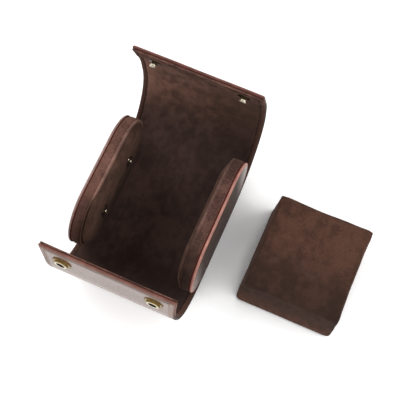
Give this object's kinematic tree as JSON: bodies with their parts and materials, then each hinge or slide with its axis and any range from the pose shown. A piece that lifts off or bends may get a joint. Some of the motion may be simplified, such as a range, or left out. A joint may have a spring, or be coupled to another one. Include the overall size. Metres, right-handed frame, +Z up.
{
  "type": "watch travel case",
  "caption": "Oblong travel case for a wristwatch: a flexible leather wrap with a snap flap, padded end caps and a loose suede pillow.",
  "frame": {"origin": "on the table under the middle of the case's floor", "axes": "+X along the line through both end caps, towards the pillow; +Y from the snap lip in front to the flap behind; +Z up"},
  "size_m": [0.171, 0.1416, 0.0985],
  "materials": {
    "outer_leather": "smooth satin, dark burgundy brown",
    "suede_lining": "brushed microfibre suede, dark chocolate brown",
    "pillow_suede": "brushed microfibre suede, warm dark brown",
    "stiff_board": "plain grey board",
    "foam": "soft wadding block",
    "antique_brass": "antique, rubbed on the high edges",
    "stud_metal": "polished pale brass",
    "rivet_metal": "polished pale brass",
    "spring_wire": "bright wire"
  },
  "bodies": {
    "base": {"floor_leather": "outer_leather", "floor_board": "stiff_board", "floor_lining": "suede_lining", "left_cap_cover": "outer_leather", "left_cap_board": "stiff_board", "left_cap_rim": "suede_lining", "left_cap_pad": "suede_lining", "left_cap_rivets": "rivet_metal", "right_cap_cover": "outer_leather", "right_cap_board": "stiff_board", "right_cap_rim": "suede_lining", "right_cap_pad": "suede_lining", "right_cap_rivets": "rivet_metal"},
    "lip_fold_1": {"lip_leather_1": "outer_leather", "lip_lining_1": "suede_lining"},
    "lip_fold_2": {"lip_leather_2": "outer_leather", "lip_lining_2": "suede_lining"},
    "lip_fold_3": {"lip_leather_3": "outer_leather", "lip_lining_3": "suede_lining"},
    "lip_fold_4": {"lip_leather_4": "outer_leather", "lip_lining_4": "suede_lining"},
    "lip_fold_5": {"lip_leather_5": "outer_leather", "lip_lining_5": "suede_lining"},
    "lip_fold_6": {"lip_leather_6": "outer_leather", "lip_lining_6": "suede_lining", "lip_snap_sockets": "antique_brass", "lip_snap_springs": "spring_wire", "lip_snap_eyelets": "antique_brass"},
    "flap_fold_1": {"flap_leather_1": "outer_leather", "flap_lining_1": "suede_lining"},
    "flap_fold_2": {"flap_leather_2": "outer_leather", "flap_lining_2": "suede_lining"},
    "flap_fold_3": {"flap_leather_3": "outer_leather", "flap_lining_3": "suede_lining"},
    "flap_fold_4": {"flap_leather_4": "outer_leather", "flap_lining_4": "suede_lining"},
    "flap_fold_5": {"flap_leather_5": "outer_leather", "flap_lining_5": "suede_lining"},
    "flap_fold_6": {"flap_leather_6": "outer_leather", "flap_lining_6": "suede_lining"},
    "flap_fold_7": {"flap_leather_7": "outer_leather", "flap_lining_7": "suede_lining", "flap_snap_studs": "stud_metal", "flap_snap_caps": "antique_brass"},
    "pillow": {"pillow_cover": "pillow_suede", "pillow_core": "foam", "pillow_end_boards": "stiff_board"}
  },
  "joints": [
    {"name": "lip_bend_1", "type": "hinge", "parent": "base", "child": "lip_fold_1", "pos_m": [0, -0.0273, 0.0032], "axis": [-1, 0, 0], "range_deg": [0, 24]},
    {"name": "lip_bend_2", "type": "hinge", "parent": "lip_fold_1", "child": "lip_fold_2", "pos_m": [0, -0.04019, 0.00456], "axis": [-1, 0, 0], "range_deg": [0, 6]},
    {"name": "lip_bend_3", "type": "hinge", "parent": "lip_fold_2", "child": "lip_fold_3", "pos_m": [0, -0.05193, 0.01133], "axis": [-1, 0, 0], "range_deg": [0, 3]},
    {"name": "lip_bend_4", "type": "hinge", "parent": "lip_fold_3", "child": "lip_fold_4", "pos_m": [0, -0.05931, 0.0227], "axis": [-1, 0, 0], "range_deg": [0, 14]},
    {"name": "lip_bend_5", "type": "hinge", "parent": "lip_fold_4", "child": "lip_fold_5", "pos_m": [0, -0.06328, 0.03567], "axis": [-1, 0, 0], "range_deg": [0, 22]},
    {"name": "lip_bend_6", "type": "hinge", "parent": "lip_fold_5", "child": "lip_fold_6", "pos_m": [0, -0.0654, 0.04906], "axis": [-1, 0, 0], "range_deg": [0, 18]},
    {"name": "flap_bend_1", "type": "hinge", "parent": "base", "child": "flap_fold_1", "pos_m": [0, 0.0273, 0.0032], "axis": [1, 0, 0], "range_deg": [0, 15]},
    {"name": "flap_bend_2", "type": "hinge", "parent": "flap_fold_1", "child": "flap_fold_2", "pos_m": [0, 0.03982, 0.00655], "axis": [1, 0, 0], "range_deg": [0, 13]},
    {"name": "flap_bend_3", "type": "hinge", "parent": "flap_fold_2", "child": "flap_fold_3", "pos_m": [0, 0.05131, 0.01374], "axis": [1, 0, 0], "range_deg": [0, 14]},
    {"name": "flap_bend_4", "type": "hinge", "parent": "flap_fold_3", "child": "flap_fold_4", "pos_m": [0, 0.06039, 0.02381], "axis": [1, 0, 0], "range_deg": [0, 14]},
    {"name": "flap_bend_5", "type": "hinge", "parent": "flap_fold_4", "child": "flap_fold_5", "pos_m": [0, 0.06633, 0.036], "axis": [1, 0, 0], "range_deg": [0, 14]},
    {"name": "flap_bend_6", "type": "hinge", "parent": "flap_fold_5", "child": "flap_fold_6", "pos_m": [0, 0.06868, 0.04935], "axis": [1, 0, 0], "range_deg": [0, 0.647]},
    {"name": "flap_bend_7", "type": "hinge", "parent": "flap_fold_6", "child": "flap_fold_7", "pos_m": [0, 0.06718, 0.07083], "axis": [1, 0, 0], "range_deg": [0, 2.36]},
    {"name": "pillow_lift", "type": "slide", "parent": "base", "child": "pillow", "axis": [0, 0, 1], "range_m": [0, 0.07]}
  ],
  "couplings": [
    {"joint": "lip_bend_2", "follows": "lip_bend_1", "ratio": 0.25},
    {"joint": "lip_bend_3", "follows": "lip_bend_1", "ratio": 0.125},
    {"joint": "lip_bend_4", "follows": "lip_bend_1", "ratio": 0.58333},
    {"joint": "lip_bend_5", "follows": "lip_bend_1", "ratio": 0.91667},
    {"joint": "lip_bend_6", "follows": "lip_bend_1", "ratio": 0.75},
    {"joint": "flap_bend_2", "follows": "flap_bend_1", "ratio": 0.86667},
    {"joint": "flap_bend_3", "follows": "flap_bend_1", "ratio": 0.93333},
    {"joint": "flap_bend_4", "follows": "flap_bend_1", "ratio": 0.93333},
    {"joint": "flap_bend_5", "follows": "flap_bend_1", "ratio": 0.93333},
    {"joint": "flap_bend_6", "follows": "flap_bend_1", "ratio": 0.04304},
    {"joint": "flap_bend_7", "follows": "flap_bend_1", "ratio": 0.15696}
  ]
}
